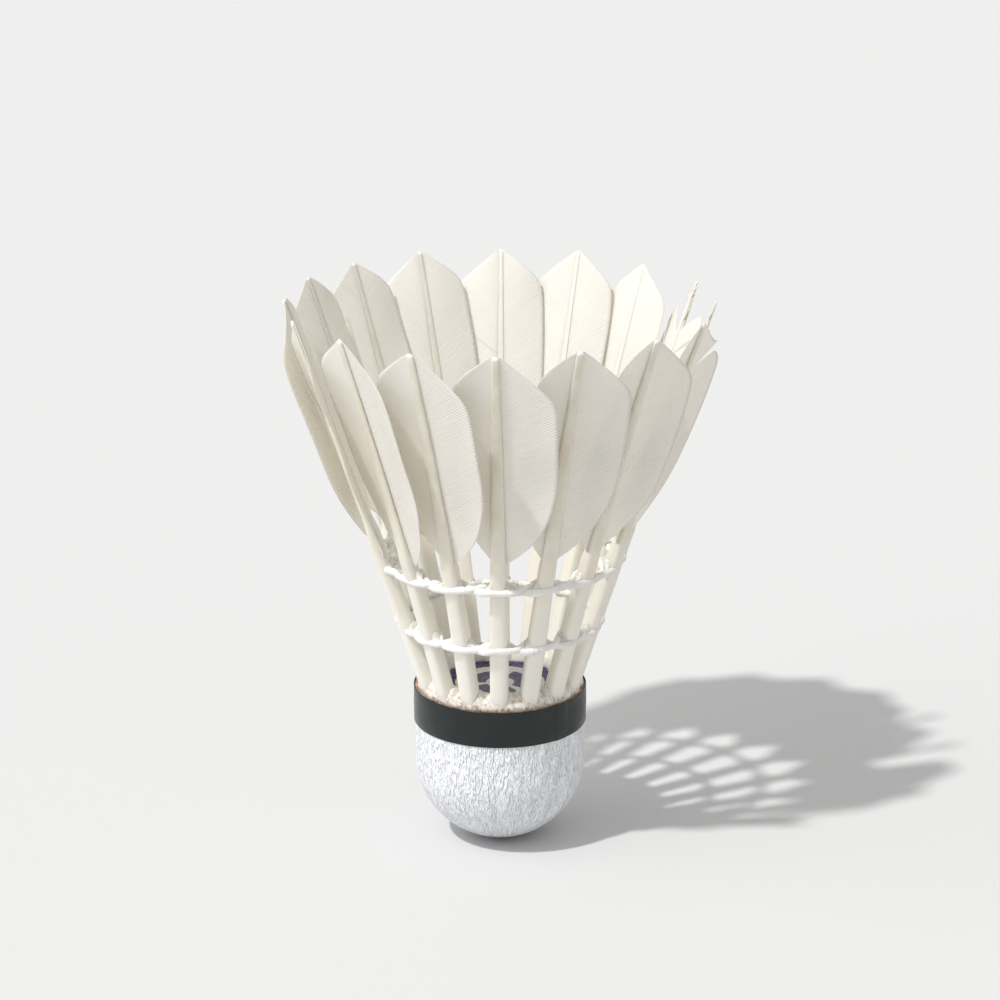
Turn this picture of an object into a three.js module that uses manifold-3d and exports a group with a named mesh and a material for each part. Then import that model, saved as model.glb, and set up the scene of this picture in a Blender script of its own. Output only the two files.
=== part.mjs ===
// A feather shuttlecock: a cork head in a leather cover, sixteen goose feathers glued into the head,
// and two rows of thread that bind the feather shafts together.
//
// Units are millimetres and +Z is up. The origin is the lowest point of the nose, on the axis.
// The head is at the bottom and the feather skirt opens upwards.
// Heights named "above the head" count from the head's flat top.

import * as THREE from "three";
import { mergeVertices } from "three/addons/utils/BufferGeometryUtils.js";
import Module from "manifold-3d";

const wasm = await Module();
wasm.setup();

// ---------------------------------------------------------------- driving dimensions

const FEATHER_COUNT = 16;
const ROUND_SEGMENTS = 48; // a multiple of the feather count, so each feather meets the head alike
const GLUE_LINE = 0.05; // adhesive film between two bonded pieces

const head = {
  radius: 12.9, // outside of the leather
  height: 24.3, // nose to flat top
  leather: 0.6, // thickness of the cover
  holeFloor: 1.7, // cork left under a quill hole in the upper cork
};

const band = {
  width: 5.6,
  thickness: 0.15,
  lift: 0.2, // how far the tape stands above the head's flat top
};

const label = {
  radius: 8.8,
  thickness: 0.2,
};

const collar = {
  height: 2.3, // the ring of glue round the shafts, above the head
  labelGap: 0.3,
  rim: 0.25, // head left bare outside the glue
};

const quill = {
  depth: 9, // how far a shaft is sunk into the head
  endWidth: 2.0,
  endThickness: 1.8,
  clearance: 0.15, // glue gap round a quill in its hole
};

const shaft = {
  rim: 0.8, // from the head's edge to the outer face of a shaft
  baseWidth: 2.8,
  baseThickness: 2.4,
  tipWidth: 1.4,
  tipThickness: 1.1,
  taperPower: 1.6, // above 1, the shaft keeps its width low down and thins towards the tip
  sides: 8,
};

const feather = {
  length: 63.5, // head to tip, in a straight line
  tipCircle: 31.4, // radius of the circle through the shaft tips
  bow: 0.8, // how far the shaft curves in from that straight line, at mid length
};

const vane = {
  length: 37.4,
  outerHalf: 8.9, // the half that laps over the next feather
  innerHalf: 6.4, // the half that tucks under the last feather
  thickness: 0.35,
  flare: 0.9, // how far the outer half's edge curls outwards
  shoulder: 11, // from the tip to the widest place
  roofAngle: THREE.MathUtils.degToRad(37), // slope of the cut at the tip
  cornerRound: 2.2, // how softly the cut runs into the side
  leafPower: 3.7, // how long the vane stays wide before it narrows
  inset: 0.2, // the vane leaves the shaft this far inside its centreline
  lapGap: 0.4, // free gap between two vanes where they lap
  rootCover: 0.2, // the vane's end is hidden this deep in the shaft's side
};

const thread = {
  diameter: 0.6,
  clearance: 0.12, // between a strand and what it passes
  belowVane: 3.4, // from the foot of the vane down to the upper row
  lowerRow: 0.52, // where the lower row divides the bare shaft, counted from the head
  stepsPerFeather: 4,
  sides: 5,
};

// ---------------------------------------------------------------- sizes that follow

const PITCH = (2 * Math.PI) / FEATHER_COUNT;
const baseCircle = head.radius - shaft.rim - shaft.baseThickness / 2;
const skirtSpread = feather.tipCircle - baseCircle;
const skirtHeight = Math.sqrt(feather.length ** 2 - skirtSpread ** 2);
const vaneFoot = heightAt(vane.length);
const upperRowHeight = vaneFoot - thread.belowVane;
const lowerRowHeight = upperRowHeight * thread.lowerRow;
const corkSplit = head.height - quill.depth - head.holeFloor;

// The height above the head of a place that lies this far down the shaft from its tip.
function heightAt(fromTip) {
  return skirtHeight * (1 - fromTip / feather.length);
}

// ---------------------------------------------------------------- the shape of one feather

// The radius of the shaft's centreline: a straight line with a shallow parabola taken off it.
// Below the head's top it runs on straight, because a quill hole is straight.
function shaftRadius(height) {
  if (height < 0) return baseCircle + shaftSlope(0) * height;
  const t = height / skirtHeight;
  return baseCircle + skirtSpread * t - 4 * feather.bow * t * (1 - t);
}

// How fast that radius grows with height.
function shaftSlope(height) {
  const t = Math.max(height, 0) / skirtHeight;
  return (skirtSpread - 4 * feather.bow * (1 - 2 * t)) / skirtHeight;
}

// The shaft's width and thickness: a taper to the tip above the head, a taper to the quill's end below.
function shaftSize(height) {
  if (height < 0) {
    const sunk = -height / quill.depth;
    return {
      width: THREE.MathUtils.lerp(shaft.baseWidth, quill.endWidth, sunk),
      thickness: THREE.MathUtils.lerp(shaft.baseThickness, quill.endThickness, sunk),
    };
  }
  const thinned = (height / skirtHeight) ** shaft.taperPower;
  return {
    width: THREE.MathUtils.lerp(shaft.baseWidth, shaft.tipWidth, thinned),
    thickness: THREE.MathUtils.lerp(shaft.baseThickness, shaft.tipThickness, thinned),
  };
}

// Half the vane's width: a straight cut that slopes down from the tip, run softly into a leaf shape.
function vaneHalf(widest, fromTip) {
  const { width } = shaftSize(heightAt(fromTip));
  const roof = width / 2 + fromTip / Math.tan(vane.roofAngle);
  const past = Math.max(fromTip - vane.shoulder, 0) / (vane.length - vane.shoulder);
  const leaf = widest * (1 - past ** vane.leafPower);
  const blend = (roof + leaf - Math.hypot(roof - leaf, vane.cornerRound)) / 2;
  return Math.max(blend, width / 2 - vane.rootCover);
}

const VANE_STATIONS = [0, 1.6, 3.4, 5.4, 8, 12, 17, 22, 27, 31, 34.4, 37.4].map(
  (at) => (at / 37.4) * vane.length,
);

// How far the vane has curled outwards at a place across it: a parabola that is flat at the shaft.
const vaneCurl = (across) => vane.flare * (across / vane.outerHalf) ** 2;

// Each feather is turned on its own shaft, so that its outer half laps over the next feather's inner
// half with the free gap that is asked for. The turn is set by the place where the lap is tightest,
// and it makes up for the inner half's curl, which lifts its edge towards the feather over it.
const lapTurn = Math.atan(
  Math.max(
    ...VANE_STATIONS.map((fromTip) => {
      const radius = shaftRadius(heightAt(fromTip));
      const inner = vaneHalf(vane.innerHalf, fromTip);
      const lift = vaneCurl(inner) - vaneCurl(PITCH * radius - inner);
      const stack = vane.thickness + vane.lapGap + lift;
      return inner / radius - PITCH / 2 + stack / (PITCH * radius);
    }),
  ),
);

// A point of the feather at azimuth 0: across is along its width, out is along its outward normal.
function featherPoint(height, across, out) {
  const tilt = Math.atan(shaftSlope(height));
  const sideways = across * Math.cos(lapTurn) - out * Math.sin(lapTurn);
  const outwards = across * Math.sin(lapTurn) + out * Math.cos(lapTurn);
  return new THREE.Vector3(
    shaftRadius(height) + outwards * Math.cos(tilt),
    sideways,
    head.height + height - outwards * Math.sin(tilt),
  );
}

// One ring of the shaft: an oval, or the same oval grown by a clearance to cut a hole.
function shaftRing(height, grow = 0) {
  const { width, thickness } = shaftSize(height);
  return Array.from({ length: shaft.sides }, (_, k) => {
    const angle = ((k + 0.5) / shaft.sides) * 2 * Math.PI;
    const across = (width / 2 + grow) * Math.cos(angle);
    return featherPoint(height, across, (thickness / 2 + grow) * Math.sin(angle));
  });
}

// One ring of the vane: along its inner face from edge to edge, then back along its outer face.
function vaneRing(fromTip) {
  const height = heightAt(fromTip);
  const inner = vaneHalf(vane.innerHalf, fromTip);
  const outer = vaneHalf(vane.outerHalf, fromTip);
  const places = [-inner, -inner / 2, 0, outer / 2, outer];
  const face = (across, side) => {
    const out = (side * vane.thickness) / 2 - vane.inset + vaneCurl(across);
    return featherPoint(height, across, out);
  };
  return [
    ...places.map((across) => face(across, -1)),
    ...places.toReversed().map((across) => face(across, 1)),
  ];
}

// ---------------------------------------------------------------- geometry helpers

// Joins rings of points into one closed surface. All the rings have the same count of points, and run
// clockwise as they are met by someone who looks back from the last ring to the first.
// A loop's last ring joins its first. Otherwise the ends are capped by strips across the ring.
function loft(rings, isLoop = false) {
  const count = rings[0].length;
  const positions = rings.flat().flatMap((p) => [p.x, p.y, p.z]);
  const faces = [];
  const last = isLoop ? rings.length : rings.length - 1;
  for (let i = 0; i < last; i++) {
    const here = i * count;
    const next = ((i + 1) % rings.length) * count;
    for (let k = 0; k < count; k++) {
      const k2 = (k + 1) % count;
      faces.push(here + k, next + k2, here + k2, here + k, next + k, next + k2);
    }
  }
  if (!isLoop) {
    const top = (rings.length - 1) * count;
    for (let low = 0, high = count - 1; high - low > 1; low++, high--) {
      faces.push(low, low + 1, high, top + low, top + high, top + low + 1);
      if (high - low > 2) {
        faces.push(low + 1, high - 1, high, top + low + 1, top + high, top + high - 1);
      }
    }
  }
  const geometry = new THREE.BufferGeometry();
  geometry.setAttribute("position", new THREE.Float32BufferAttribute(positions, 3));
  geometry.setIndex(faces);
  return geometry;
}

// A closed profile of [radius, height] pairs turned about the axis. LatheGeometry turns about +Y, so
// the result is stood up on +Z.
function turned(profile) {
  const points = profile.map(([r, z]) => new THREE.Vector2(r, z));
  return new THREE.LatheGeometry(points, ROUND_SEGMENTS).rotateX(Math.PI / 2);
}

// A flat ring or disc between two heights.
function turnedRing(innerRadius, outerRadius, low, high) {
  const corners = [[innerRadius, low], [outerRadius, low], [outerRadius, high], [innerRadius, high]];
  return turned(innerRadius > 0 ? [...corners, corners[0]] : corners);
}

// A profile that starts on the axis, follows a quarter circle and climbs straight to a height.
function nosePoints(radius, centreHeight, topHeight) {
  const steps = 9;
  const arc = Array.from({ length: steps + 1 }, (_, i) => {
    const angle = (i / steps) * (Math.PI / 2);
    return [radius * Math.sin(angle), centreHeight - radius * Math.cos(angle)];
  });
  return [...arc, [radius, topHeight]];
}

// A geometry as a manifold-3d solid, and back again.
function solidOf(geometry) {
  const bare = new THREE.BufferGeometry();
  bare.setAttribute("position", geometry.getAttribute("position"));
  bare.setIndex(geometry.getIndex());
  const merged = mergeVertices(bare, 1e-4);
  return new wasm.Manifold(
    new wasm.Mesh({
      numProp: 3,
      vertProperties: new Float32Array(merged.getAttribute("position").array),
      triVerts: new Uint32Array(merged.getIndex().array),
    }),
  );
}

function geometryOf(solid) {
  const { vertProperties, triVerts } = solid.getMesh();
  const geometry = new THREE.BufferGeometry();
  geometry.setAttribute("position", new THREE.BufferAttribute(vertProperties, 3));
  geometry.setIndex(new THREE.BufferAttribute(triVerts, 1));
  return geometry;
}

// Takes the same cutter out of a solid once for each feather.
function cutRound(solid, cutter) {
  let left = solid;
  for (let i = 0; i < FEATHER_COUNT; i++) {
    const turnedCutter = cutter.clone().rotateZ(i * PITCH);
    left = left.subtract(solidOf(turnedCutter));
  }
  return left;
}

// ---------------------------------------------------------------- materials

const finish = (color, roughness) =>
  new THREE.MeshStandardMaterial({ color, roughness, metalness: 0, flatShading: true });

const materials = {
  cork: finish(0xb98a5c, 0.9),
  leather: finish(0xeef0f4, 0.6),
  tape: finish(0x232c2b, 0.35),
  paper: finish(0xe9e6e0, 0.7),
  glue: finish(0xe6ddd0, 0.25),
  feather: finish(0xece9de, 0.55),
  thread: finish(0xf7f6f2, 0.6),
};

function piece(name, geometry, material) {
  geometry.computeVertexNormals();
  const mesh = new THREE.Mesh(geometry, material);
  mesh.name = name;
  return mesh;
}

// ---------------------------------------------------------------- the head

// The leather cup: a half round nose and a straight wall, open at the top where the cork shows.
function leatherCover() {
  const outside = nosePoints(head.radius, head.radius, head.height);
  const inside = nosePoints(head.radius - head.leather, head.radius, head.height);
  return turned([...outside, ...inside.reverse()]);
}

// The cork core in two blocks, glued on a flat plane below the quill holes.
function corkBlocks() {
  const radius = head.radius - head.leather - GLUE_LINE;
  const core = solidOf(turned([...nosePoints(radius, head.radius, head.height), [0, head.height]]));
  const wide = head.radius * 2;
  const above = solidOf(turnedRing(0, wide, corkSplit, head.height * 2));
  const below = solidOf(turnedRing(0, wide, -head.height, corkSplit + GLUE_LINE));
  return { nose: core.subtract(above), upper: cutRound(core.subtract(below), quillCutter()) };
}

// The shape of a quill hole: the sunk part of the shaft and a little above it, grown by the clearance.
function quillCutter() {
  const stations = [-quill.depth - quill.clearance, 0, collar.height + shaft.baseThickness];
  return loft(stations.map((height) => shaftRing(height, quill.clearance)));
}

// The glue that stands round the feet of the shafts, as a low mound with a hole for each shaft.
function glueCollar() {
  const innerRadius = label.radius + collar.labelGap;
  const outerRadius = head.radius - collar.rim;
  const middle = (innerRadius + outerRadius) / 2;
  const half = (outerRadius - innerRadius) / 2;
  const steps = 6;
  const arch = Array.from({ length: steps + 1 }, (_, i) => {
    const angle = (i / steps) * Math.PI;
    return [middle + half * Math.cos(angle), head.height + collar.height * Math.sin(angle)];
  });
  return geometryOf(cutRound(solidOf(turned([...arch, arch[0]])), quillCutter()));
}

// ---------------------------------------------------------------- the feathers

// One feather at azimuth 0: an oval tapering shaft with the curled vane grown out of both its sides.
function featherGeometry() {
  const sunk = [-quill.depth, -quill.depth / 2, 0];
  const bare = [0.12, 0.24, 0.36].map((share) => share * skirtHeight);
  const feathered = [0.5, 0.64, 0.78, 0.9, 1].map((share) => share * skirtHeight);
  const shaftSolid = solidOf(loft([...sunk, ...bare, ...feathered].map((h) => shaftRing(h))));
  const vaneSolid = solidOf(loft(VANE_STATIONS.toReversed().map(vaneRing)));
  return geometryOf(shaftSolid.add(vaneSolid));
}

function feathers() {
  const shape = featherGeometry();
  const group = new THREE.Group();
  for (let i = 0; i < FEATHER_COUNT; i++) {
    const name = `feather_${String(i + 1).padStart(2, "0")}`;
    const mesh = piece(name, shape, materials.feather);
    mesh.rotation.z = i * PITCH;
    group.add(mesh);
  }
  return group;
}

// ---------------------------------------------------------------- the thread rows

// One strand of a row. Two strands are twined round the ring of shafts like a basket weave: each
// passes outside one shaft and inside the next, and they cross between the shafts, one over the other.
// In the plane across the row a strand goes round an ellipse, half a turn for each shaft.
function strand(rowHeight, startAngle) {
  const radius = thread.diameter / 2;
  const { thickness } = shaftSize(rowHeight);
  const reachOut = thickness / 2 + radius + thread.clearance;
  const reachUp = radius + thread.clearance;
  const tilt = Math.atan(shaftSlope(rowHeight));
  const steps = FEATHER_COUNT * thread.stepsPerFeather;

  const centre = (step) => {
    const azimuth = (step / steps) * 2 * Math.PI;
    const weave = (azimuth * FEATHER_COUNT) / 2 + startAngle;
    const out = reachOut * Math.cos(weave);
    const up = reachUp * Math.sin(weave);
    const r = shaftRadius(rowHeight) + out * Math.cos(tilt) + up * Math.sin(tilt);
    const z = head.height + rowHeight - out * Math.sin(tilt) + up * Math.cos(tilt);
    return new THREE.Vector3(r * Math.cos(azimuth), r * Math.sin(azimuth), z);
  };

  const rings = Array.from({ length: steps }, (_, step) => {
    const here = centre(step);
    const along = centre(step + 1).sub(centre(step - 1)).normalize();
    const side = new THREE.Vector3(0, 0, 1).cross(along).normalize();
    const up = along.clone().cross(side);
    return Array.from({ length: thread.sides }, (_, k) => {
      const angle = -(k / thread.sides) * 2 * Math.PI;
      return here
        .clone()
        .addScaledVector(side, radius * Math.cos(angle))
        .addScaledVector(up, radius * Math.sin(angle));
    });
  });
  return loft(rings, true);
}

// ---------------------------------------------------------------- the shuttlecock

const shuttlecock = new THREE.Group();
const cork = corkBlocks();

shuttlecock.add(
  piece("cork_nose", geometryOf(cork.nose), materials.cork),
  piece("cork_upper_block", geometryOf(cork.upper), materials.cork),
  piece("leather_cover", leatherCover(), materials.leather),
  piece(
    "rim_tape",
    turnedRing(
      head.radius + GLUE_LINE,
      head.radius + GLUE_LINE + band.thickness,
      head.height + band.lift - band.width,
      head.height + band.lift,
    ),
    materials.tape,
  ),
  piece(
    "label_disc",
    turnedRing(0, label.radius, head.height, head.height + label.thickness),
    materials.paper,
  ),
  piece("shaft_glue_collar", glueCollar(), materials.glue),
  feathers(),
  piece("lower_thread_strand_a", strand(lowerRowHeight, 0), materials.thread),
  piece("lower_thread_strand_b", strand(lowerRowHeight, Math.PI), materials.thread),
  piece("upper_thread_strand_a", strand(upperRowHeight, 0), materials.thread),
  piece("upper_thread_strand_b", strand(upperRowHeight, Math.PI), materials.thread),
);

export default shuttlecock;
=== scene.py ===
"""A feather shuttlecock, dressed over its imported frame.

Shapes are worked out in millimetres, in the frame's own axes, and turned into metres when a mesh is
made. Heights named "height" count from the head's flat top.
"""

import math

import bpy
import numpy as np
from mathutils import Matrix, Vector


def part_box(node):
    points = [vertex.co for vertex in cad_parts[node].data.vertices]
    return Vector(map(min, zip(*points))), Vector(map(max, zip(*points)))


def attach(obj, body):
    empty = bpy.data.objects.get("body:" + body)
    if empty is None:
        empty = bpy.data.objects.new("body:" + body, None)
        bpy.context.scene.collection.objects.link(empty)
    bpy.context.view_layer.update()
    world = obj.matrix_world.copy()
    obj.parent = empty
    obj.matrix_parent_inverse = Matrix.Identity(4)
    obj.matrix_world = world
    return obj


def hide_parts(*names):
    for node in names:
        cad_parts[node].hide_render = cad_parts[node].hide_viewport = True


MM = 0.001
PER_METRE = 1000  # millimetres, for the shaders, which work in metres
SURFACE = "surface"  # the name of every piece's own surface map
HORN_GLOW = (1.0, 0.85, 0.6)  # how far red, green and blue light spread inside horn or glue
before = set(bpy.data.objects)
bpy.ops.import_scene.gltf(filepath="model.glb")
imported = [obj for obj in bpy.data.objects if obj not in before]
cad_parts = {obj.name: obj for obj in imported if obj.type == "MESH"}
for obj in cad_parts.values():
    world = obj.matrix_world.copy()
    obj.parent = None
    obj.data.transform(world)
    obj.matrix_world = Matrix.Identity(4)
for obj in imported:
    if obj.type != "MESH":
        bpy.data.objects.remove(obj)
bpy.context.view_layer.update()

# ------------------------------------------------------------------ sizes, in millimetres


def span(node):
    """A node's lowest and highest corners in millimetres."""
    low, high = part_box(node)
    return np.array(low) / MM, np.array(high) / MM


HEAD_RADIUS, _, HEAD_TOP = span("leather_cover")[1]
TAPE_LOW, TAPE_RADIUS = span("rim_tape")[0][2], span("rim_tape")[1][0]
COLLAR_RADIUS = span("shaft_glue_collar")[1][0]
TIP_RADIUS = 31.4  # the circle through the shaft tips
FEATHER_LENGTH = 63.5
FEATHERS = 16
PITCH = 2 * math.pi / FEATHERS
BASE_WIDTH, BASE_THICKNESS = 2.8, 2.4
TIP_WIDTH, TIP_THICKNESS = 1.15, 1.0
SHAFT_RIM = 0.8  # from the head's edge to the outer face of a shaft
SHAFT_TAPER = 1.6  # above 1, the shaft keeps its size low down and thins towards the tip
BASE_RADIUS = HEAD_RADIUS - SHAFT_RIM - BASE_THICKNESS / 2
SPREAD = TIP_RADIUS - BASE_RADIUS
SKIRT = math.sqrt(FEATHER_LENGTH**2 - SPREAD**2)
BOW = 0.8  # how far a shaft curves in from a straight line, at mid length
QUILL_SHOWN = 2.0  # how far a dressed shaft runs down into its hole

WEB_LENGTH = 37.4
WEB_OUTER, WEB_INNER = 8.9, 6.4
WEB_THICKNESS = 0.13
WEB_SHOULDER = 11.0
WEB_ROOF = math.radians(37)  # slope of the cut at the tip
WEB_CORNER = 1.9  # how softly the cut runs into the side
WEB_LEAF_POWER = 3.7  # how long the web stays wide before it narrows to its foot
WEB_START = 0.2  # from the shaft's centreline to the root of the barbs
WEB_TURN = math.radians(10.0)  # how far a feather is turned on its own shaft
TURN_LEAST, TURN_SPAN = 0.93, 0.14  # the least share of that, and how much more it can be
WEB_FLARE = 0.9  # how far the outer half's edge curls outwards
INNER_LIFT = 0.85  # how far the inner half's edge rises near the tip, to meet the next feather
BARB_PITCH = 0.46
BARB_RISE = 0.75  # how far a barb climbs towards the tip for each millimetre it goes across
BARB_ROWS = 3  # rows of points to a barb

WEB_FOOT = 1 - WEB_LENGTH / FEATHER_LENGTH  # where the web starts, as a share of the shaft
ROW_BELOW_WEB = 3.4
LOWER_ROW_AT = 0.52  # the lower row's height, as a share of the upper one's
UPPER_ROW = SKIRT * WEB_FOOT - ROW_BELOW_WEB
LOWER_ROW = UPPER_ROW * LOWER_ROW_AT
STRAND_RADIUS = 0.44
STRAND_FLAT = 1.25  # a strand is this much taller than it is deep
PLY_TURNS = 70  # how often a strand's two plies turn about each other in one round
FILLET = 1.0  # radius of the glue between a thread row and a shaft
LABEL_RADIUS = 9.4
LABEL_THICKNESS = 0.2

# Each feather was set by hand, so no two stand quite alike: how far the tip leans along the ring,
# stands out from it, bulges out at mid length, and reaches past the others. The first feather is
# the one on +X.
LEAN = [0.05, 0.15, 0.45, 0, 0.05, 0.6, 0.25, -0.05, 0, -0.25, -0.1, -0.2, -0.4, -0.55, -0.05, -0.1]
STAND = [0.35, 0.6, -0.1, 0, 0, 0.2, 0.25, -0.1, 0.3, 0.7, 0.15, 0.2, 0, -0.15, 0.2, 0.45]
BELLY = [0.5, 0.3, 0.1, 0, 0, 0, 0.2, 0.45, 0.75, 0.9, 0.4, 0.1, 0, 0.15, 0.25, 0.45]
REACH = [0, -0.1, -0.3, 0.3, -0.15, 0.15, 0, 0.2, 0.1, 0.2, 0, -0.15, 0, 0.15, 0.1, -0.1]

# ------------------------------------------------------------------ camera and light

CAMERA_BACK, CAMERA_UP = 497.4, 214.2  # millimetres
CAMERA_PITCH, CAMERA_ROUND = 17.90, 0.45  # degrees
LENS, SENSOR = 125.84, 36
SKY = 0.605
FLOOR_REACH = 4.0  # metres


def set_camera():
    data = bpy.data.cameras.new("camera")
    camera = bpy.data.objects.new("camera", data)
    bpy.context.scene.collection.objects.link(camera)
    turn = math.radians(CAMERA_ROUND)
    camera.location = (
        CAMERA_BACK * math.sin(turn) * MM,
        -CAMERA_BACK * math.cos(turn) * MM,
        CAMERA_UP * MM,
    )
    camera.rotation_euler = (math.radians(90 - CAMERA_PITCH), 0, turn)
    data.lens, data.sensor_width = LENS, SENSOR
    data.clip_start, data.clip_end = 0.02, 20
    bpy.context.scene.camera = camera


def set_sun(name, towards, energy, spread, colour=(1, 1, 1)):
    """A sun that shines towards a direction. spread is the angle in degrees that it fills."""
    data = bpy.data.lights.new(name, "SUN")
    sun = bpy.data.objects.new(name, data)
    bpy.context.scene.collection.objects.link(sun)
    sun.rotation_euler = Vector(towards).to_track_quat("-Z", "Y").to_euler()
    data.energy, data.angle, data.color = energy, math.radians(spread), colour


def set_light():
    """A sun from the left and a little in front, a broad weak one low on the left, a white sky."""
    set_sun("key", (0.43, 0.365, -0.83), 2.35, 2.6, (1.0, 0.995, 0.985))
    set_sun("fill", (0.9, 0.25, -0.35), 0.9, 70)
    world = bpy.data.worlds.new("sky")
    bpy.context.scene.world = world
    world.use_nodes = True
    background = world.node_tree.nodes["Background"]
    background.inputs["Color"].default_value = (1.0, 1.0, 1.0, 1)
    background.inputs["Strength"].default_value = SKY
    bpy.context.scene.view_settings.view_transform = "Standard"


# ------------------------------------------------------------------ shader maths


class Value:
    """A socket that adds Math nodes when it is used in a sum."""

    def __init__(self, tree, socket):
        self.tree, self.socket = tree, socket

    def _with(self, operation, *values):
        node = self.tree.nodes.new("ShaderNodeMath")
        node.operation = operation
        for place, value in zip(node.inputs, values):
            plug(self.tree, place, value)
        return Value(self.tree, node.outputs[0])

    def __add__(self, other):
        return self._with("ADD", self, other)

    def __mul__(self, other):
        return self._with("MULTIPLY", self, other)

    def __truediv__(self, other):
        return self._with("DIVIDE", self, other)

    def __pow__(self, other):
        return self._with("POWER", self, other)

    def __radd__(self, other):
        return self._with("ADD", other, self)

    def __rsub__(self, other):
        return self._with("SUBTRACT", other, self)

    def __rmul__(self, other):
        return self._with("MULTIPLY", other, self)

    def smooth(self, low, high):
        """0 below low, 1 above high and a smooth climb between."""
        node = self.tree.nodes.new("ShaderNodeMapRange")
        node.interpolation_type = "SMOOTHSTEP"
        for name, value in {"Value": self, "From Min": low, "From Max": high}.items():
            plug(self.tree, node.inputs[name], value)
        return Value(self.tree, node.outputs[0])

    def sine(self):
        return self._with("SINE", self)

    def most(self, other):
        return self._with("MAXIMUM", self, other)

    def angle_from(self, other):
        """The angle, in radians, of a point that is this far up and other far along."""
        return self._with("ARCTAN2", self, other)


def plug(tree, place, value):
    """Links a Value or a socket to a place, or sets a plain number or colour there."""
    if isinstance(value, Value):
        value = value.socket
    if isinstance(value, bpy.types.NodeSocket):
        tree.links.new(value, place)
    elif isinstance(value, (tuple, list)) and len(value) == 3 and place.type == "RGBA":
        place.default_value = (*value, 1)
    else:
        place.default_value = value


def from_axis(x, y):
    """How far a place is from the object's axis."""
    return (x * x + y * y) ** 0.5


class Finish:
    """One material in the making."""

    def __init__(self, name):
        self.material = bpy.data.materials.new(name)
        self.material.use_nodes = True
        self.tree = self.material.node_tree
        self.shader = self.tree.nodes["Principled BSDF"]

    def node(self, kind, settings=None, **sockets):
        """Any node: its type, its settings, then the values or links of its named sockets."""
        node = self.tree.nodes.new(kind)
        for name, value in (settings or {}).items():
            setattr(node, name, value)
        for name, value in sockets.items():
            plug(self.tree, node.inputs[name.replace("_", " ")], value)
        return node

    def value(self, socket):
        return Value(self.tree, socket)

    def place(self):
        """Object coordinates, in metres."""
        return self.node("ShaderNodeTexCoord").outputs["Object"]

    def axes(self, vector):
        parts = self.node("ShaderNodeSeparateXYZ", Vector=vector)
        return [self.value(parts.outputs[i]) for i in range(3)]

    def uv(self):
        """The piece's own surface map."""
        return self.node("ShaderNodeUVMap", {"uv_map": SURFACE}).outputs[0]

    def noise(self, vector, scale, detail=3, roughness=0.5, stretch=None):
        """Noise from 0 to 1. scale counts blotches to the unit, and stretch scales each axis
        first."""
        if stretch:
            vector = self.node("ShaderNodeMapping", Vector=vector, Scale=stretch).outputs[0]
        node = self.node(
            "ShaderNodeTexNoise",
            Vector=vector,
            Scale=scale,
            Detail=detail,
            Roughness=roughness,
        )
        return self.value(node.outputs[0])

    def cells(self, scale):
        """How far each place is from the nearest of many scattered points."""
        node = self.node("ShaderNodeTexVoronoi", Vector=self.place(), Scale=scale)
        return self.value(node.outputs["Distance"])

    def add(self, first, second):
        node = self.node("ShaderNodeVectorMath", {"operation": "ADD"})
        plug(self.tree, node.inputs[0], first)
        plug(self.tree, node.inputs[1], second)
        return node.outputs[0]

    def mix(self, share, first, second):
        """A colour between two, by share."""
        node = self.node("ShaderNodeMix", {"data_type": "RGBA"})
        plug(self.tree, node.inputs[0], share)
        plug(self.tree, node.inputs[6], first)
        plug(self.tree, node.inputs[7], second)
        return node.outputs[2]

    def set(self, **sockets):
        """Sets or links sockets of the surface shader."""
        for name, value in sockets.items():
            plug(self.tree, self.shader.inputs[name.replace("_", " ")], value)

    def bump(self, height, distance, strength=1.0):
        node = self.node("ShaderNodeBump", Height=height, Distance=distance, Strength=strength)
        plug(self.tree, self.shader.inputs["Normal"], node.outputs[0])
        return node.outputs[0]

    def glow_through(self, share, colour, normal):
        """Mixes in a share of light that comes through from behind."""
        through = self.node("ShaderNodeBsdfTranslucent", Color=colour, Normal=normal)
        mixed = self.node("ShaderNodeMixShader")
        out = self.tree.nodes["Material Output"]
        plug(self.tree, mixed.inputs[0], share)
        plug(self.tree, mixed.inputs[1], self.shader.outputs[0])
        plug(self.tree, mixed.inputs[2], through.outputs[0])
        plug(self.tree, out.inputs["Surface"], mixed.outputs[0])


# ------------------------------------------------------------------ finishes


def web_finish():
    """Feather web: fine slanting barbs, ivory white, a little light coming through.
    The surface map's first axis counts barbs along the shaft, its second runs out to the edge."""
    f = Finish("feather_web")
    barb = f.axes(f.uv())[0]
    groove = (barb * (2 * math.pi)).sine() * 0.5 + 0.5
    streaks = f.noise(f.uv(), 1.0, 3, 0.6, stretch=(0.9, 0.12, 1))
    cloud = f.noise(f.place(), 160, 3, 0.55)
    fine = f.noise(f.uv(), 1.0, 2, 0.7, stretch=(6.0, 5.0, 1))
    # The groove term darkens the colour between the barbs: painted shade in the grooves. The
    # streaks and cloud are the web's own tone.
    shade = (groove * 0.18 + streaks * 0.6 + cloud * 0.35).smooth(0.2, 0.95)
    colour = f.mix(shade, (0.905, 0.902, 0.882), (0.965, 0.963, 0.952))
    f.set(Base_Color=colour, Roughness=0.45 + 0.2 * streaks, Specular_IOR_Level=0.35)
    patch = 0.25 + 0.75 * f.noise(f.place(), 95, 2).smooth(0.4, 0.65)
    normal = f.bump(groove * patch + fine * 0.3 + streaks * 1.2, 0.00007, 0.55)
    f.glow_through(0.36, (0.90, 0.84, 0.70), normal)
    return f.material


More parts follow.
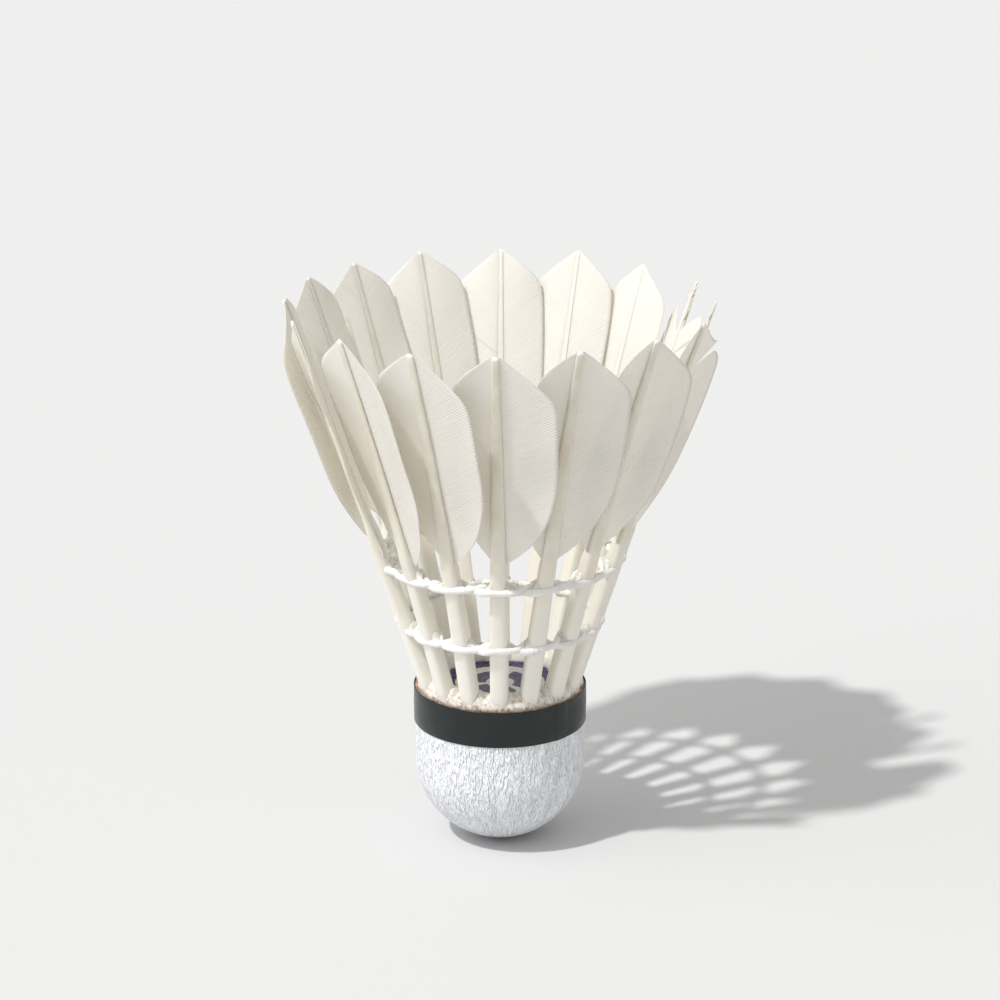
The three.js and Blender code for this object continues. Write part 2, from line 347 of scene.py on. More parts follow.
def shaft_finish():
    """Feather shaft: smooth horn, ivory, streaked along its length and whiter to the foot. The
    faces that look inwards are a little whiter everywhere, as pith, and much whiter on the
    feathers towards +X +Y: that extra whiteness is painted sunlight on their inner faces. The
    surface map's first axis goes from the inward face, 0, to the outward one, 0.5. Its second is
    the height."""
    f = Finish("feather_shaft")
    x, y, z = f.axes(f.place())
    face, along, _ = f.axes(f.uv())
    grain = f.noise(f.uv(), 1.0, 3, 0.6, stretch=(14.0, 0.25, 1))
    cloud = f.noise(f.place(), 220, 2)
    low = 1 - (z * PER_METRE).smooth(30, 62)
    inward = 1 - face.smooth(0.12, 0.24)
    streaks = (grain * 0.7 + cloud * 0.4).smooth(0.3, 0.8)
    warm = f.mix(streaks, (0.665, 0.61, 0.495), (0.785, 0.745, 0.65))
    colour = f.mix(low * 0.8, warm, (0.84, 0.82, 0.755))
    # Painted light: the inner faces of the shafts on the +X +Y side, which the sun lights, are
    # painted whiter.
    painted_sunlit_whiteness = (x + y).smooth(0.010, 0.032)
    colour = f.mix(inward * (1 - low) * (0.05 + 0.5 * painted_sunlit_whiteness), colour, (0.90, 0.88, 0.825))
    colour = f.mix(along.smooth(SKIRT - 0.45, SKIRT - 0.15), colour, (0.87, 0.86, 0.82))
    f.set(Base_Color=colour, Roughness=0.32 + 0.2 * grain)
    f.set(Subsurface_Weight=0.3, Subsurface_Radius=HORN_GLOW, Subsurface_Scale=0.0016)
    f.bump(grain * 0.7 + cloud * 0.2, 0.00005, 0.5)
    return f.material


def leather_finish():
    """White leather: crisp creases that run from the rim to the nose, in a map wrapped on the cup,
    with a few faint stains and a scuffed nose."""
    f = Finish("cover_leather")
    place = f.place()
    x, y, z = f.axes(place)
    rim = (x * x + y * y + 1e-9) ** 0.5  # never 0, as it is divided by
    around_x, around_y = x / rim * HEAD_RADIUS, y / rim * HEAD_RADIUS
    squeezed = z * 270  # far under a thousand to the metre, so that the creases come out long
    wrapped = f.node("ShaderNodeCombineXYZ", X=around_x, Y=around_y, Z=squeezed).outputs[0]
    bend = f.noise(wrapped, 0.5, 2, 0.5)
    push = f.node("ShaderNodeCombineXYZ", X=bend * 1.2, Y=bend * 1.2).outputs[0]
    swayed = f.add(wrapped, push)
    broad = f.noise(swayed, 2.5, 1, 0.4)
    narrow = f.noise(swayed, 4.4, 1, 0.5)
    ridges = broad.smooth(0.36, 0.56) * 0.65 + narrow.smooth(0.36, 0.6) * 0.35
    pores = f.noise(place, 3600, 2, 0.6)
    scuff = f.noise(place, 420, 3, 0.7)
    stain = f.noise(place, 90, 3, 0.6)
    low = 1 - (z * PER_METRE).smooth(0.1, 1.6)
    # The crease valleys are painted a little darker than the ridges: painted shade in the creases.
    colour = f.mix(ridges.smooth(0.0, 0.7), (0.835, 0.85, 0.88), (0.86, 0.875, 0.905))
    colour = f.mix(stain.smooth(0.55, 0.8) * 0.15, colour, (0.78, 0.775, 0.75))
    dirt = low * scuff.smooth(0.45, 0.7) * 0.4
    colour = f.mix(dirt, colour, (0.42, 0.41, 0.39))
    f.set(Base_Color=colour, Roughness=0.42 + 0.2 * pores, Specular_IOR_Level=0.4)
    f.bump(ridges + pores * 0.06, 0.00032, 1.0)
    return f.material


def cut_edge_finish():
    """The raw edge of the leather and the cork beside it: tan, with darker specks."""
    f = Finish("cut_edge")
    place = f.place()
    specks = f.noise(place, 1500, 3, 0.7)
    colour = f.mix(specks.smooth(0.35, 0.65), (0.30, 0.13, 0.05), (0.72, 0.47, 0.26))
    f.set(Base_Color=colour, Roughness=0.75)
    f.bump(specks, 0.0001, 0.6)
    return f.material


def tape_finish():
    """Green-black tape, half gloss, drawn out along the band and dusty in places."""
    f = Finish("rim_tape")
    place = f.place()
    lines = f.noise(place, 260, 3, 0.6, stretch=(1, 1, 9))
    patches = f.noise(place, 130, 3, 0.6)
    dust = f.noise(place, 2600, 2, 0.6)
    colour = f.mix(patches.smooth(0.3, 0.7), (0.006, 0.010, 0.010), (0.012, 0.017, 0.016))
    colour = f.mix(dust.smooth(0.66, 0.82) * 0.2, colour, (0.12, 0.12, 0.11))
    f.set(Base_Color=colour, Roughness=0.22 + 0.16 * lines, Specular_IOR_Level=0.4)
    f.bump(lines * 0.8 + patches, 0.00008, 0.5)
    return f.material


def cork_finish():
    """Natural cork: brown grain over small cells."""
    f = Finish("natural_cork")
    grain = f.noise(f.place(), 700, 4, 0.65)
    colour = f.mix(grain.smooth(0.3, 0.7), (0.24, 0.10, 0.035), (0.62, 0.38, 0.19))
    f.set(Base_Color=colour, Roughness=0.8 + 0.1 * grain)
    f.bump(grain + f.cells(900), 0.0002, 0.7)
    return f.material


def glue_finish(name, speckled):
    """Dried glue: cloudy white with pinhead bubbles. Beside the cork it holds brown specks."""
    f = Finish(name)
    place = f.place()
    x, y, z = f.axes(place)
    cloud = f.noise(place, 500, 3, 0.6)
    colour = f.mix(cloud.smooth(0.3, 0.7), (0.66, 0.62, 0.545), (0.79, 0.765, 0.71))
    if speckled:
        outer = (from_axis(x, y) * PER_METRE).smooth(COLLAR_RADIUS - 1.1, COLLAR_RADIUS - 0.1)
        low = 1 - (z * PER_METRE).smooth(HEAD_TOP + 0.5, HEAD_TOP + 2.2)
        crumbs = f.noise(place, 1700, 3, 0.75).smooth(0.5, 0.62)
        colour = f.mix(crumbs * (outer * 0.7 + low * 0.1), colour, (0.42, 0.25, 0.16))
    f.set(Base_Color=colour, Roughness=0.18 + 0.3 * cloud, Coat_Weight=0.3)
    f.set(Subsurface_Weight=0.3, Subsurface_Radius=HORN_GLOW, Subsurface_Scale=0.0012)
    f.bump(cloud * 0.5 + f.cells(2200), 0.00011 if speckled else 0.00006, 0.7)
    return f.material


def thread_finish():
    """White cotton, streaked along the yarn. The surface map runs along it, then round it."""
    f = Finish("binding_thread")
    fibre = f.noise(f.uv(), 1.0, 3, 0.6, stretch=(2.2, 9.0, 1))
    cloud = f.noise(f.place(), 400, 2)
    shade = (fibre * 0.6 + cloud * 0.5).smooth(0.3, 0.8)
    colour = f.mix(shade, (0.74, 0.73, 0.68), (0.92, 0.915, 0.89))
    f.set(Base_Color=colour, Roughness=0.42 + 0.25 * fibre)
    f.set(Subsurface_Weight=0.15, Subsurface_Scale=0.0006)
    f.bump(fibre, 0.00008, 0.8)
    return f.material


def label_finish():
    """Printed paper: a broad plain ring and a ring broken in three inside it, in violet ink."""
    f = Finish("label_paper")
    place = f.place()
    x, y, _ = f.axes(place)
    rim = from_axis(x, y) * PER_METRE + f.noise(place, 2500, 2) * 0.3
    ring = rim.smooth(6.9, 7.05) * (1 - rim.smooth(9.3, 9.45))
    gaps = (y.angle_from(x) * 3 + 0.8).sine().smooth(-0.93, -0.86)
    inner = rim.smooth(2.2, 2.35) * (1 - rim.smooth(4.9, 5.05)) * gaps
    ink = ring.most(inner * 0.9)
    fibres = f.noise(place, 1800, 3, 0.7)
    paper = f.mix(fibres.smooth(0.3, 0.7), (0.60, 0.585, 0.56), (0.72, 0.705, 0.68))
    worn = ink * (0.85 + 0.15 * f.noise(place, 1400, 3, 0.7).smooth(0.35, 0.6))
    colour = f.mix(worn, paper, (0.030, 0.018, 0.105))
    f.set(Base_Color=colour, Roughness=0.6 + 0.15 * fibres)
    f.bump(fibres, 0.00003, 0.5)
    return f.material


def floor_finish():
    """One flat pale grey."""
    f = Finish("pale_floor")
    f.set(Base_Color=(0.655, 0.655, 0.655), Roughness=0.9, Specular_IOR_Level=0.1)
    return f.material


# ------------------------------------------------------------------ mesh making

RIPPLE_WAVES, RIPPLE_LOUD = 9, 3.2


def make(name, points, faces, finishes, nodes, uv=None, kinds=None):
    """A piece from points in millimetres and an array of four-sided faces, in the place of some CAD
    nodes. uv gives each point's place in the surface map, and kinds the finish of each face."""
    mesh = bpy.data.meshes.new(name)
    points = np.ascontiguousarray(points.reshape(-1, 3), dtype=np.float32) * MM
    faces = np.ascontiguousarray(faces, dtype=np.int32)
    mesh.vertices.add(len(points))
    mesh.vertices.foreach_set("co", points.ravel())
    mesh.loops.add(faces.size)
    mesh.loops.foreach_set("vertex_index", faces.ravel())
    mesh.polygons.add(len(faces))
    mesh.polygons.foreach_set("loop_start", np.arange(0, faces.size, 4, dtype=np.int32))
    mesh.update(calc_edges=True)
    mesh.polygons.foreach_set("use_smooth", np.full(len(faces), True))
    for finish in finishes:
        mesh.materials.append(finish)
    if kinds is not None:
        mesh.polygons.foreach_set("material_index", np.ascontiguousarray(kinds, dtype=np.int32))
    if uv is not None:
        layer = mesh.uv_layers.new(name=SURFACE)
        pairs = np.ascontiguousarray(uv.reshape(-1, 2)[faces.ravel()], dtype=np.float32)
        layer.data.foreach_set("uv", pairs.ravel())
    mesh.validate()
    piece = bpy.data.objects.new(name, mesh)
    bpy.context.scene.collection.objects.link(piece)
    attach(piece, "root")
    if nodes:
        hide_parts(*nodes)
    return piece


def grid_faces(rows, columns, wrap_rows=False, wrap_columns=False):
    """Faces of a grid of points. They face the way that rows cross columns."""
    i = np.arange(rows if wrap_rows else rows - 1)
    j = np.arange(columns if wrap_columns else columns - 1)
    i, j = np.meshgrid(i, j, indexing="ij")
    i2, j2 = (i + 1) % rows, (j + 1) % columns
    return np.stack(
        [i * columns + j, i2 * columns + j, i2 * columns + j2, i * columns + j2], -1
    ).reshape(-1, 4)


def ripple(seed, *axes):
    """Smooth noise about -1 to 1: the sum of a few sine waves with mixed directions and lengths,
    over a little more than the root of their number. Each axis is given as (values, waves for each
    unit)."""
    rng = np.random.default_rng(seed)
    total = 0
    for _ in range(RIPPLE_WAVES):
        phase = rng.uniform(0, 2 * np.pi)
        for values, waves in axes:
            phase = phase + values * waves * 2 * np.pi * rng.uniform(0.4, 1.6) * rng.choice([-1, 1])
        total = total + np.sin(phase)
    return total / RIPPLE_LOUD


# ------------------------------------------------------------------ the shape of a feather


def shaft_radius(height):
    """A straight line from the head to the tip circle with a shallow parabola taken off it, and the
    same line run on straight below the head's top."""
    t = height / SKIRT
    above = BASE_RADIUS + SPREAD * t - 4 * BOW * t * (1 - t)
    below = BASE_RADIUS + shaft_slope(np.zeros(1))[0] * height
    return np.where(height < 0, below, above)


def shaft_slope(height):
    """How fast that radius grows with height."""
    t = np.maximum(height, 0) / SKIRT
    return (SPREAD - 4 * BOW * (1 - 2 * t)) / SKIRT


def tapered(height, base, tip):
    """From base to tip as a power of the height."""
    return base + (tip - base) * np.clip(height / SKIRT, 0, 1) ** SHAFT_TAPER


def shaft_width(height):
    return tapered(height, BASE_WIDTH, TIP_WIDTH)


def shaft_thickness(height):
    return tapered(height, BASE_THICKNESS, TIP_THICKNESS)


def feather_points(index, height, across, out):
    """Where a place on feather number index is. height is along the shaft, across runs over the
    web's width and out along its outward normal. The whole feather is turned on its shaft, leans
    and stands out as the square of its height and bulges as a parabola, then is carried round the
    ring."""
    t = np.maximum(height, 0) / SKIRT
    tilt = np.arctan(shaft_slope(height))
    turn = WEB_TURN * (TURN_LEAST + TURN_SPAN * ((index * 7) % 5) / 4)  # mixed round the ring
    sideways = across * np.cos(turn) - out * np.sin(turn) + LEAN[index] * t**2
    outwards = across * np.sin(turn) + out * np.cos(turn) + STAND[index] * t**2
    outwards = outwards + BELLY[index] * 4 * t * (1 - t)
    stretched = height * (1 + REACH[index] / FEATHER_LENGTH)
    r = shaft_radius(height) + outwards * np.cos(tilt)
    z = HEAD_TOP + stretched - outwards * np.sin(tilt)
    a = index * PITCH
    return np.stack(
        [r * np.cos(a) - sideways * np.sin(a), r * np.sin(a) + sideways * np.cos(a), z], -1
    )


def web_half(widest, from_tip, length=WEB_LENGTH):
    """Half the web's width: a straight cut sloping down from the tip, run softly into a leaf shape
    that narrows to nothing at the web's foot."""
    width = shaft_width(SKIRT * (1 - from_tip / FEATHER_LENGTH))
    roof = width / 2 + np.maximum(from_tip, 0) / math.tan(WEB_ROOF)
    past = np.clip((from_tip - WEB_SHOULDER) / (length - WEB_SHOULDER), 0, 1)
    leaf = widest * (1 - past**WEB_LEAF_POWER)
    blend = (roof + leaf - np.hypot(roof - leaf, WEB_CORNER)) / 2
    return np.maximum(blend, width / 2 - 0.25)


# Splits that a racket has opened, by feather and side: how far below the tip each one opens at the
# edge, how wide it gapes there, and from which share of the web's width.
SPLITS = {
    (15, 1): [(4.8, 1.7, 0.35)],
    (4, 1): [(10.0, 0.5, 0.5), (17.0, 0.35, 0.5)],
    (5, 1): [(15.0, 0.35, 0.5)],
    (1, 1): [(9.0, 1.4, 0.2), (12.5, 0.9, 0.3)],
    (1, -1): [(8.0, 1.2, 0.25)],
    (0, 1): [(9.5, 1.2, 0.2), (14.0, 0.6, 0.3)],
    (7, -1): [(9.0, 0.4, 0.5)],
}
# Feathers, by side, that have lost their barbs over this length at the tip.
BARE = {(0, 1): 6.0, (0, -1): 15.0, (1, 1): 4.2, (1, -1): 4.2}
LONGER = {7: 1.0, 8: 2.8, 9: 2.8, 10: 2.4, 15: 0.8}  # webs that reach further down their shaft
COLUMNS = 13  # points from a barb's root to its end
RAGGED = 0.06  # how far a barb's end stands past or short of the outline
STUB, STUB_SPAN = 0.22, 2.2  # a broken barb's least length, and how much more it can have
SPLIT_FADE = 3.5  # barbs over which a split closes
LIFT_FROM, LIFT_OVER = 23, 6  # radius where the inner half starts to rise, and how far it goes on
BARB_RELIEF = 0.012  # how far barbs stand proud of the grooves between them
WEB_SUNK = 0.15  # how far in from its shaft's centreline the web lies
WEB_STEP, STEP_REACH = 0.2, 0.8  # how far its root steps out again, and over what distance
WEB_WAVE = 0.14  # how far the web waves in and out at its edge
SLAB_ROOT, SLAB_THINNED = 1.25, 0.75  # a slab's thickness at its root, and what the edge has lost


def web_side(index, side):
    """One half of a feather's web, as slabs of barbs that cling to each other.

    Rows follow the barbs: each starts on the shaft and climbs outwards to the outline. Columns run
    from the shaft to the edge. A split parts the web into two closed slabs, whose edges draw away
    from each other by a share that fades as e to the power of minus the distance. Where the tip is
    bare, each barb is a short slab of its own. The web's way out is a step at its root that fades
    the same way, and a parabola in the distance from the shaft, plus a ripple. Returns the points
    of the outer face and the inner face, the surface map and each row's slab number."""
    rng = np.random.default_rng(100 + index * 2 + (side > 0))
    widest = (WEB_OUTER if side > 0 else WEB_INNER) * (1 + 0.03 * rng.uniform(-1, 1))
    length = WEB_LENGTH + LONGER.get(index, 0)
    edge_at = np.linspace(0, length, 600)
    root_at = edge_at + BARB_RISE * web_half(widest, edge_at, length)
    barbs = int((root_at[-1] - root_at[0]) / BARB_PITCH)

    def barb_at(from_tip):
        return int((np.interp(from_tip, edge_at, root_at) - root_at[0]) / BARB_PITCH)

    opened = SPLITS.get((index, side), [])
    stubs = np.arange(1, barb_at(BARE.get((index, side), 0)) + 1)
    places = [barb_at(at) for at, _, _ in opened]
    cuts = np.unique(np.concatenate([stubs, places]).astype(int))
    starts, ends = np.r_[0, cuts], np.r_[cuts, barbs]
    steps = [np.arange(a * BARB_ROWS, b * BARB_ROWS + 1) for a, b in zip(starts, ends)]
    slab = np.repeat(np.arange(len(steps)), [len(rows) for rows in steps])
    step = np.concatenate(steps)
    barb = step / BARB_ROWS
    root = root_at[0] + barb * BARB_PITCH
    half = web_half(widest, np.interp(root, root_at, edge_at), length)
    barb_wave = np.cos(barb * 2 * np.pi)
    half = half - RAGGED * rng.uniform(0.2, 1, size=barbs + 2)[step // BARB_ROWS] * barb_wave
    stub = STUB + STUB_SPAN * rng.uniform(0, 1, size=len(starts)) ** 5  # few are long
    half = np.where(slab < len(stubs), stub[slab], half)

    q = np.linspace(0, 1, COLUMNS)[None, :]
    gape = np.zeros((len(step), COLUMNS))
    for place, (_, gap, begins) in zip(places, opened):
        way = np.where(slab <= np.searchsorted(cuts, place), -1, 1)
        fade = np.exp(-np.abs(barb - place) / SPLIT_FADE)
        open_here = np.clip((q - begins) / (1 - begins), 0, 1) ** 1.3
        gape += (way * fade * gap / 2)[:, None] * open_here
    across = WEB_START + (half - WEB_START)[:, None] * q
    from_tip = np.maximum(root[:, None] - BARB_RISE * across + gape, 0.02)
    height = SKIRT * (1 - from_tip / FEATHER_LENGTH)
    out = -WEB_SUNK + WEB_STEP * np.exp(-across / STEP_REACH)
    out = out + WEB_FLARE * (across / WEB_OUTER) ** 2
    if side < 0:
        near_tip = np.clip((shaft_radius(height) - LIFT_FROM) / LIFT_OVER, 0, 1)
        out = out + INNER_LIFT * near_tip * (across / WEB_INNER) ** 2
    out = out + BARB_RELIEF * barb_wave[:, None] * np.minimum(q * 4, 1)
    wavy = ripple(7 + index * 2 + (side > 0), (from_tip, 0.05), (across, 0.05))
    out = out + WEB_WAVE * wavy * q
    thin = WEB_THICKNESS / 2 * (SLAB_ROOT - SLAB_THINNED * q)
    front = feather_points(index, height, side * across, out + thin)
    back = feather_points(index, height, side * across, out - thin)
    surface = np.stack([np.broadcast_to(barb[:, None], across.shape), across], -1)
    return front, back, surface, slab


def slab_faces(slab, columns, flip):
    """Faces of two-faced slabs, given each row's slab number: both faces, the walls along each
    slab's first and last rows, and the walls at the root and the edge."""
    rows = len(slab)
    size = rows * columns
    joined = slab[:-1] == slab[1:]
    top = grid_faces(rows, columns)[joined.repeat(columns - 1)]
    bottom = top[:, ::-1] + size
    j = np.arange(columns - 1)
    first = np.flatnonzero(np.r_[True, ~joined])
    last = np.flatnonzero(np.r_[~joined, True])
    a = (first[:, None] * columns + j).ravel()
    head = np.stack([a, a + 1, a + 1 + size, a + size], -1)
    b = (last[:, None] * columns + j).ravel()
    foot = np.stack([b + 1, b, b + size, b + 1 + size], -1)
    i = np.flatnonzero(joined)
    c = i * columns
    root = np.stack([c + columns, c, c + size, c + columns + size], -1)
    d = i * columns + columns - 1
    edge = np.stack([d, d + columns, d + columns + size, d + size], -1)
    faces = np.concatenate([top, bottom, head, foot, root, edge])
    return faces[:, ::-1] if flip else faces


SHAFT_SIDES, SHAFT_RINGS = 20, 54
SHAFT_CORNERS = 0.55  # below 1, the section is squarer than an oval
SHAFT_CROWN = 0.10  # how far the outward face is domed
TIP_WEAR = 0.4  # the share of its size that a bare tip has lost
SLIM_OVER = 0.08  # the share of the shaft over which it slims as the web starts
# The shares it loses there: the inner half's width, the inner half's depth, the outer half's depth.
SLIM_ACROSS, SLIM_IN, SLIM_OUT = 0.45, 0.6, 0.25


def shaft_grid(index):
    """The shaft as rings of a rounded box: a superellipse that is flat on its outer and inner
    faces, narrowed along the taper, with its last rings drawn in to close the tip. Beside the web
    its inner half is narrower and shallower and its outer one shallower, and a bare tip is worn
    thin."""
    straight = np.linspace(-QUILL_SHOWN, SKIRT - 0.6, SHAFT_RINGS)
    heights = np.concatenate([straight, [SKIRT - 0.25, SKIRT, SKIRT + 0.05]])
    shrink = np.concatenate([np.ones(SHAFT_RINGS), [0.92, 0.6, 0.02]])
    angle = np.arange(SHAFT_SIDES) / SHAFT_SIDES * 2 * np.pi + np.pi / SHAFT_SIDES
    c, s = np.cos(angle), np.sin(angle)
    box_c = np.sign(c) * np.abs(c) ** SHAFT_CORNERS
    box_s = np.sign(s) * np.abs(s) ** SHAFT_CORNERS
    h = np.repeat(heights[:, None], SHAFT_SIDES, 1)
    wobble = 1 + 0.02 * ripple(400 + index, (h, 0.05))
    across = box_c * shaft_width(h) / 2 * shrink[:, None] * wobble
    out = box_s * shaft_thickness(h) / 2 * shrink[:, None]
    dome = SHAFT_CROWN * (1 - np.abs(box_c)) * (shaft_width(h) / BASE_WIDTH) * (out > 0)
    webbed = np.clip((h / SKIRT - WEB_FOOT) / SLIM_OVER, 0, 1)
    inner = (out < 0) * webbed
    across = across * (1 - SLIM_ACROSS * inner)
    out = out * (1 - SLIM_IN * inner - SLIM_OUT * (out > 0) * webbed)
    bare = BARE.get((index, 1), 0)
    worn = 1 - TIP_WEAR * np.clip((h - SKIRT + bare) / max(bare, 1), 0, 1) * (bare > 0)
    points = feather_points(index, h, across * worn, out * worn + dome * shrink[:, None])
    face = 0.5 - np.abs((angle / (2 * np.pi) + 0.25) % 1 - 0.5)
    surface = np.stack([np.repeat(face[None, :], len(heights), 0), h], -1)
    faces = grid_faces(len(heights), SHAFT_SIDES, wrap_columns=True)
    return points, surface, faces


def cap_faces(ring, flip=False):
    """Closes a ring of points of even count with strips straight across it."""
    n = len(ring)
    low = np.arange(n // 2 - 1)
    high = n - 1 - low
    faces = np.stack([ring[low], ring[low + 1], ring[high - 1], ring[high]], -1)
    return faces[:, ::-1] if flip else faces


def feather(index, finishes):
    """One whole feather: the shaft, and both halves of its web."""
    points, surface, faces = shaft_grid(index)
    rings, sides = points.shape[:2]
    foot = np.arange(sides)
    ends = [cap_faces(foot), cap_faces(foot + (rings - 1) * sides, True)]
    parts = [points.reshape(-1, 3)]
    maps = [surface.reshape(-1, 2)]
    shells = [np.concatenate([faces, *ends])]
    kinds = [np.zeros(len(shells[0]), int)]
    start = len(parts[0])
    for side in (1, -1):
        front, back, surface, slab = web_side(index, side)
        web_faces = slab_faces(slab, COLUMNS, side < 0)
        parts += [front.reshape(-1, 3), back.reshape(-1, 3)]
        maps += [surface.reshape(-1, 2), surface.reshape(-1, 2)]
        shells.append(web_faces + start)
        kinds.append(np.ones(len(web_faces), int))
        start += len(parts[-1]) * 2
    node = f"feather_{index + 1:02d}"
    return make(
        node + "_dressed",
        np.concatenate(parts),
        np.concatenate(shells),
        finishes,
        [node],
        uv=np.concatenate(maps),
        kinds=np.concatenate(kinds),
    )


# ------------------------------------------------------------------ the head

LEATHER = 0.6  # thickness of the cover
LEATHER_INSIDE = 3.0  # how far the cover's inner face is drawn down from the rim
CREASE_BROAD, CREASE_NARROW = 0.012, 0.015
TAPE_WIDTH = 5.6
TAPE_LAP = 0.09  # how far the lapped end stands out
# The tape's section: in or out from its radius, and up from its lower edge.
TAPE_SECTION = [
    [-0.13, 0.0],
    [-0.02, 0.0],
    [0.0, 0.06],
    [0.0, 1.6],
    [0.02, 2.8],
    [0.0, 4.0],
    [0.0, 5.54],
    [-0.02, TAPE_WIDTH],
    [-0.13, TAPE_WIDTH],
]


def leather_cup(finishes):
    """The cover: a half sphere run into a straight wall, then over the rim and down the inside,
    where its cut edge shows. The surface has upright creases from ripples that are long in height
    and short round the ring, pushed out along the normal. They fade to the rim and to the bottom of
    the nose."""
    around = 400
    nose = np.linspace(0.004, np.pi / 2, 120)
    wall = np.linspace(HEAD_RADIUS, HEAD_TOP, 50)[1:]
    r = np.concatenate([HEAD_RADIUS * np.sin(nose), np.full(len(wall), HEAD_RADIUS)])
    z = np.concatenate([HEAD_RADIUS * (1 - np.cos(nose)), wall])
    nr = np.concatenate([np.sin(nose), np.ones(len(wall))])
    nz = np.concatenate([-np.cos(nose), np.zeros(len(wall))])
    a = np.linspace(0, 2 * np.pi, around, endpoint=False)[None, :]
    zz = np.repeat(z[:, None], around, 1)
    wx, wy = HEAD_RADIUS * np.cos(a) + 0 * zz, HEAD_RADIUS * np.sin(a) + 0 * zz
    broad = ripple(11, (wx, 0.5), (wy, 0.5), (zz, 0.12))
    narrow = ripple(12, (wx, 0.85), (wy, 0.85), (zz, 0.2))
    crease = CREASE_BROAD * np.tanh(broad * 2.5) + CREASE_NARROW * np.tanh(narrow * 2.5)
    crease = crease * np.clip((HEAD_TOP - zz) / 2, 0, 1) * np.clip(zz / 2.5, 0.1, 1)
    rr = r[:, None] + crease * nr[:, None]
    zz = zz + crease * nz[:, None]
    outer = np.stack([rr * np.cos(a), rr * np.sin(a), zz], -1)
    lip = np.array([[-0.12, 0.06], [-0.5, 0.05], [-LEATHER, -0.1], [-LEATHER, -LEATHER_INSIDE]])
    lip = lip + [HEAD_RADIUS, HEAD_TOP]
    inner = np.stack(
        [lip[:, :1] * np.cos(a), lip[:, :1] * np.sin(a), np.repeat(lip[:, 1:], around, 1)], -1
    )
    points = np.concatenate([outer, inner])
    rows = len(points)
    faces = grid_faces(rows, around, wrap_columns=True)[:, ::-1]
    kinds = (np.repeat(np.arange(rows - 1), around) >= len(outer) - 1).astype(int)
    ring = np.arange(around)
    faces = np.concatenate([faces, cap_faces(ring, True), cap_faces(ring + (rows - 1) * around)])
    kinds = np.concatenate([kinds, np.zeros(len(faces) - len(kinds), int)])
    name = "leather_cover"
    return make(name + "_dressed", points, faces, finishes, [name], kinds=kinds)


def tape_band(finish):
    """The tape: a closed band whose end laps over its start, thicker there by most of its own
    thickness. Its edges wander by a hair."""
    around = 360
    a = np.linspace(0, 2 * np.pi, around, endpoint=False)
    lap_at, lap_long = math.radians(-42), math.radians(9)
    off = (a - lap_at + np.pi) % (2 * np.pi) - np.pi
    lap = np.clip((off + lap_long) / 0.012, 0, 1) * np.clip(-off / 0.05 + 1, 0, 1)
    wave = 0.03 * ripple(21, (a, 0.9)) + 0.02 * ripple(22, (a, 4.0))
    out, up = np.hsplit(np.array(TAPE_SECTION), 2)
    outside = out > -0.1
    rr = TAPE_RADIUS + out + TAPE_LAP * lap[None, :] * outside
    rr = rr + 0.012 * ripple(23, (a[None, :], 2.0), (up, 0.2)) * outside
    zz = TAPE_LOW + up + wave[None, :] * (up / TAPE_WIDTH)
    points = np.stack([rr * np.cos(a), rr * np.sin(a), zz], -1)
    faces = grid_faces(len(out), around, wrap_rows=True, wrap_columns=True)[:, ::-1]
    return make("rim_tape_dressed", points, faces, [finish], ["rim_tape"])


def label_sheet(finish):
    """The paper disc: rings of points over a faint wave, with a thin edge."""
    around = 128
    a = np.linspace(0, 2 * np.pi, around, endpoint=False)[None, :]
    r = np.concatenate([[0.02], np.linspace(0.6, LABEL_RADIUS, 16), [LABEL_RADIUS]])[:, None]
    z = np.full_like(r, HEAD_TOP + LABEL_THICKNESS)
    z[-1] = HEAD_TOP + 0.02
    z = z + 0.03 * ripple(31, (r * np.cos(a), 0.08), (r * np.sin(a), 0.08)) * (r < LABEL_RADIUS)
    points = np.stack([r * np.cos(a), r * np.sin(a), z], -1)
    rows = len(r)
    faces = grid_faces(rows, around, wrap_columns=True)
    ring = np.arange(around)
    faces = np.concatenate([faces, cap_faces(ring), cap_faces(ring + (rows - 1) * around, True)])
    return make("label_disc_dressed", points, faces, [finish], ["label_disc"])


GLUE_BANK, GLUE_CLIMB = 1.6, 1.1  # height of the glue between the shafts, and more beside one
CLIMB_REACH = 0.75  # how far from a shaft that climb is felt


def ring_offset(a):
    """How far round the ring, in radians, an azimuth is from the nearest shaft."""
    return (a + PITCH / 2) % PITCH - PITCH / 2


